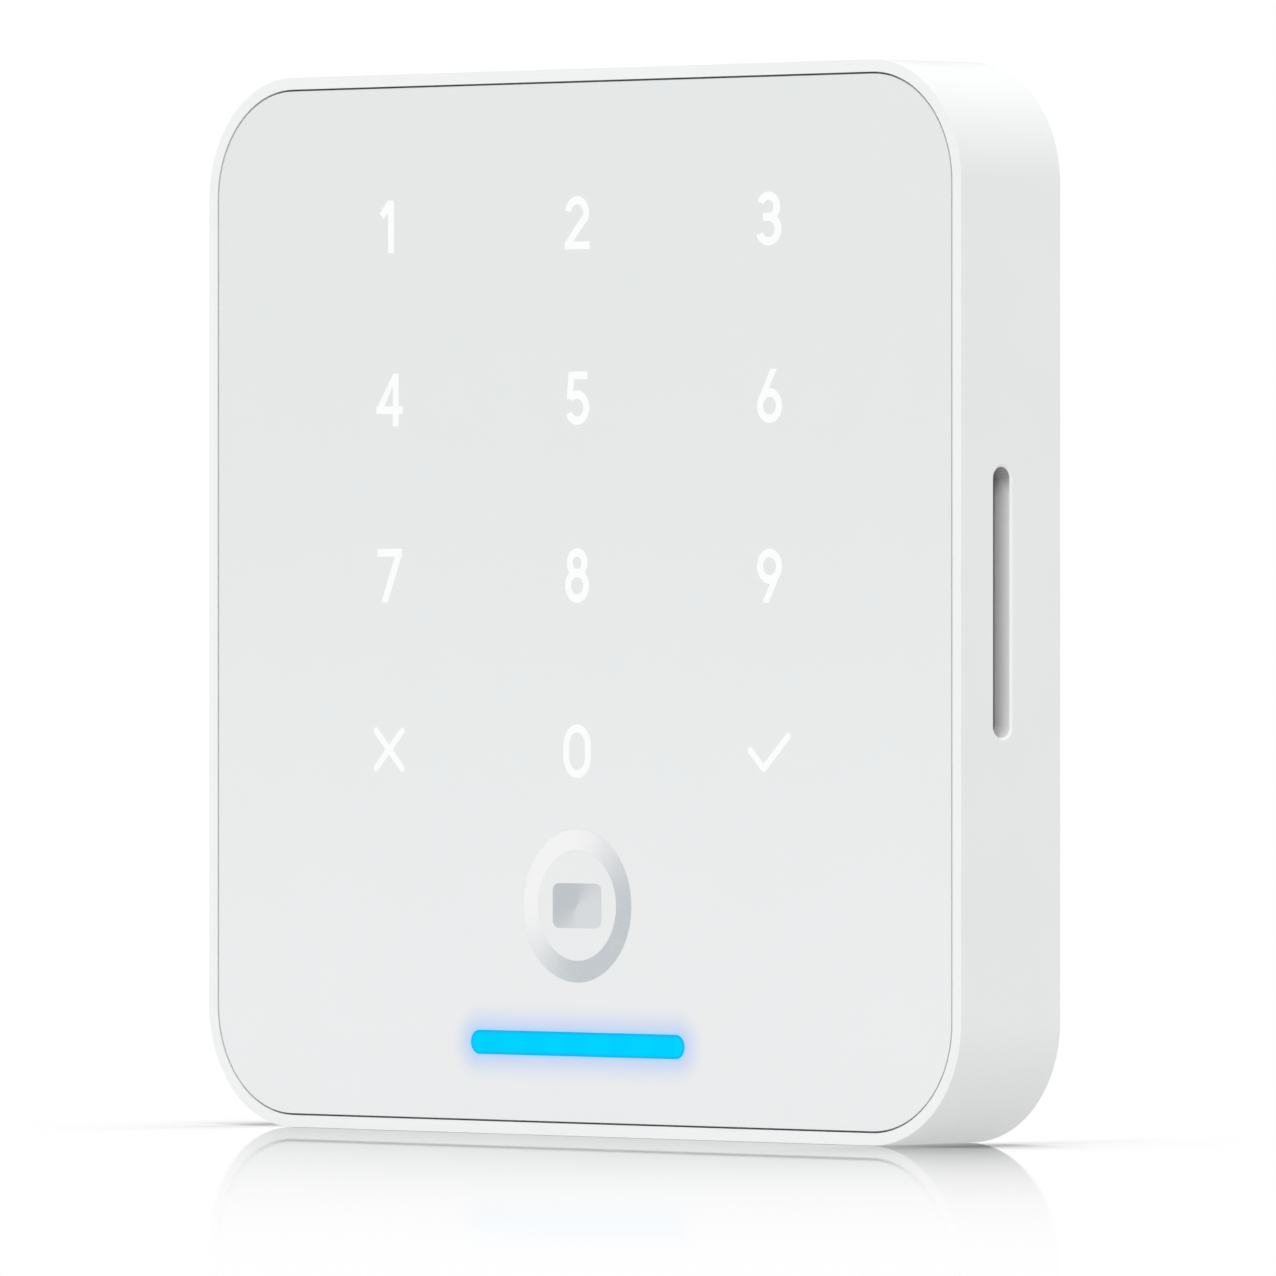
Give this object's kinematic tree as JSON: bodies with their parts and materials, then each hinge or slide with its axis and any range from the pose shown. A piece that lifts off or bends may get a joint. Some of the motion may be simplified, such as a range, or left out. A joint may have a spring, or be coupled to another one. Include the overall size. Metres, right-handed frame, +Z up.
{
  "type": "rfid card reader with keypad",
  "caption": "Flat square wall reader for RFID cards with a touch keypad, a status light bar, a side sound slot and a steel wall plate it hooks onto.",
  "frame": {"origin": "centre of the wall plate on the wall's surface", "axes": "+Y points into the wall, -Y towards the user, +Z up, +X towards the side with the sound slot"},
  "size_m": [0.114, 0.0152, 0.114],
  "materials": {
    "housing_white": "satin white polycarbonate",
    "panel_white": "smooth light grey, matte hard coat",
    "legend_light": "backlit translucent white",
    "mark_bright": "pale silver print",
    "mark_grey": "cool grey silver print",
    "status_blue": "backlit cyan-blue light pipe",
    "adhesive": "black acrylic foam tape",
    "sensor_film": "printed polyester film",
    "light_frame": "matte white",
    "circuit_board": "green solder mask",
    "led": "yellow phosphor lens",
    "copper": "bright copper",
    "ferrite": "dark grey sintered sheet",
    "frame_plastic": "moulded light grey",
    "flex": "amber polyimide",
    "connector": "ivory moulded",
    "steel_screw": "zinc plated",
    "tinned_steel": "tinned sheet",
    "transformer": "ferrite and tape",
    "inductor": "moulded grey",
    "chip": "black epoxy",
    "capacitor": "tan ceramic",
    "jack_shell": "nickel plated sheet",
    "jack_plastic": "black moulded",
    "gold": "gold plated",
    "speaker_body": "dark moulded",
    "speaker_cone": "black treated paper",
    "foam": "grey foam",
    "mesh": "grey woven acoustic mesh",
    "switch_black": "black moulded",
    "cover_plastic": "textured light grey",
    "seal": "black silicone",
    "brass_insert": "knurled brass",
    "membrane": "grey vent membrane",
    "label": "blank matte label",
    "lock_steel": "stainless steel",
    "plunger_white": "acetal",
    "spring_steel": "music wire",
    "button_grey": "grey silicone",
    "plate_steel": "zinc plated sheet steel"
  },
  "bodies": {
    "wall_plate": {"wall_plate": "plate_steel"},
    "reader": {"housing": "housing_white", "front_panel": "panel_white", "key_legends": "legend_light", "tap_ring": "mark_bright", "tap_card": "mark_grey", "status_light_bar": "status_blue", "panel_adhesive": "adhesive", "touch_sensor_film": "sensor_film", "key_light_frame": "light_frame", "keypad_board": "circuit_board", "key_leds": "led", "status_leds": "led", "nfc_antenna_coil": "copper", "ferrite_sheet": "ferrite", "mid_frame": "frame_plastic", "keypad_flex": "flex", "flex_connectors": "connector", "main_board": "circuit_board", "board_screws": "steel_screw", "shield_can": "tinned_steel", "poe_transformer": "transformer", "power_inductor": "inductor", "board_chips": "chip", "board_capacitors": "capacitor", "network_jack": "jack_shell", "jack_insert": "jack_plastic", "jack_contacts": "gold", "speaker": "speaker_body", "speaker_cone": "speaker_cone", "speaker_gasket": "foam", "sound_mesh": "mesh", "tamper_switch": "switch_black", "reset_switch": "switch_black", "rear_cover": "cover_plastic", "rear_seal": "seal", "cover_inserts": "brass_insert", "cover_screws": "steel_screw", "vent_membrane": "membrane", "rear_label": "label", "lock_insert": "brass_insert"},
    "lock_seal": {"lock_oring": "seal"},
    "lock_screw": {"lock_screw": "lock_steel"},
    "tamper_plunger": {"tamper_plunger": "plunger_white", "tamper_spring": "spring_steel"},
    "reset_button": {"reset_button": "button_grey"}
  },
  "joints": [
    {"name": "reader_lift", "type": "slide", "parent": "wall_plate", "child": "reader", "axis": [0, 0, 1], "range_m": [0, 0.005]},
    {"name": "lock_travel", "type": "slide", "parent": "reader", "child": "lock_seal", "axis": [0, 0, -1], "range_m": [0, 0.005]},
    {"name": "lock_turn", "type": "hinge", "parent": "lock_seal", "child": "lock_screw", "pos_m": [0, -0.0052, -0.0569], "axis": [0, 0, -1], "range_deg": [0, 3600]},
    {"name": "tamper_press", "type": "slide", "parent": "reader", "child": "tamper_plunger", "axis": [0, 1, 0], "range_m": [0, 0.0012], "stiffness_N_per_m": 150, "springref_m": 0.002, "deforming": ["tamper_spring"]},
    {"name": "reset_press", "type": "slide", "parent": "reader", "child": "reset_button", "axis": [0, -1, 0], "range_m": [0, 0.00025], "stiffness_N_per_m": 2000}
  ],
  "couplings": [
    {"joint": "lock_turn", "follows": "lock_travel", "rad_per_m": 12566}
  ]
}
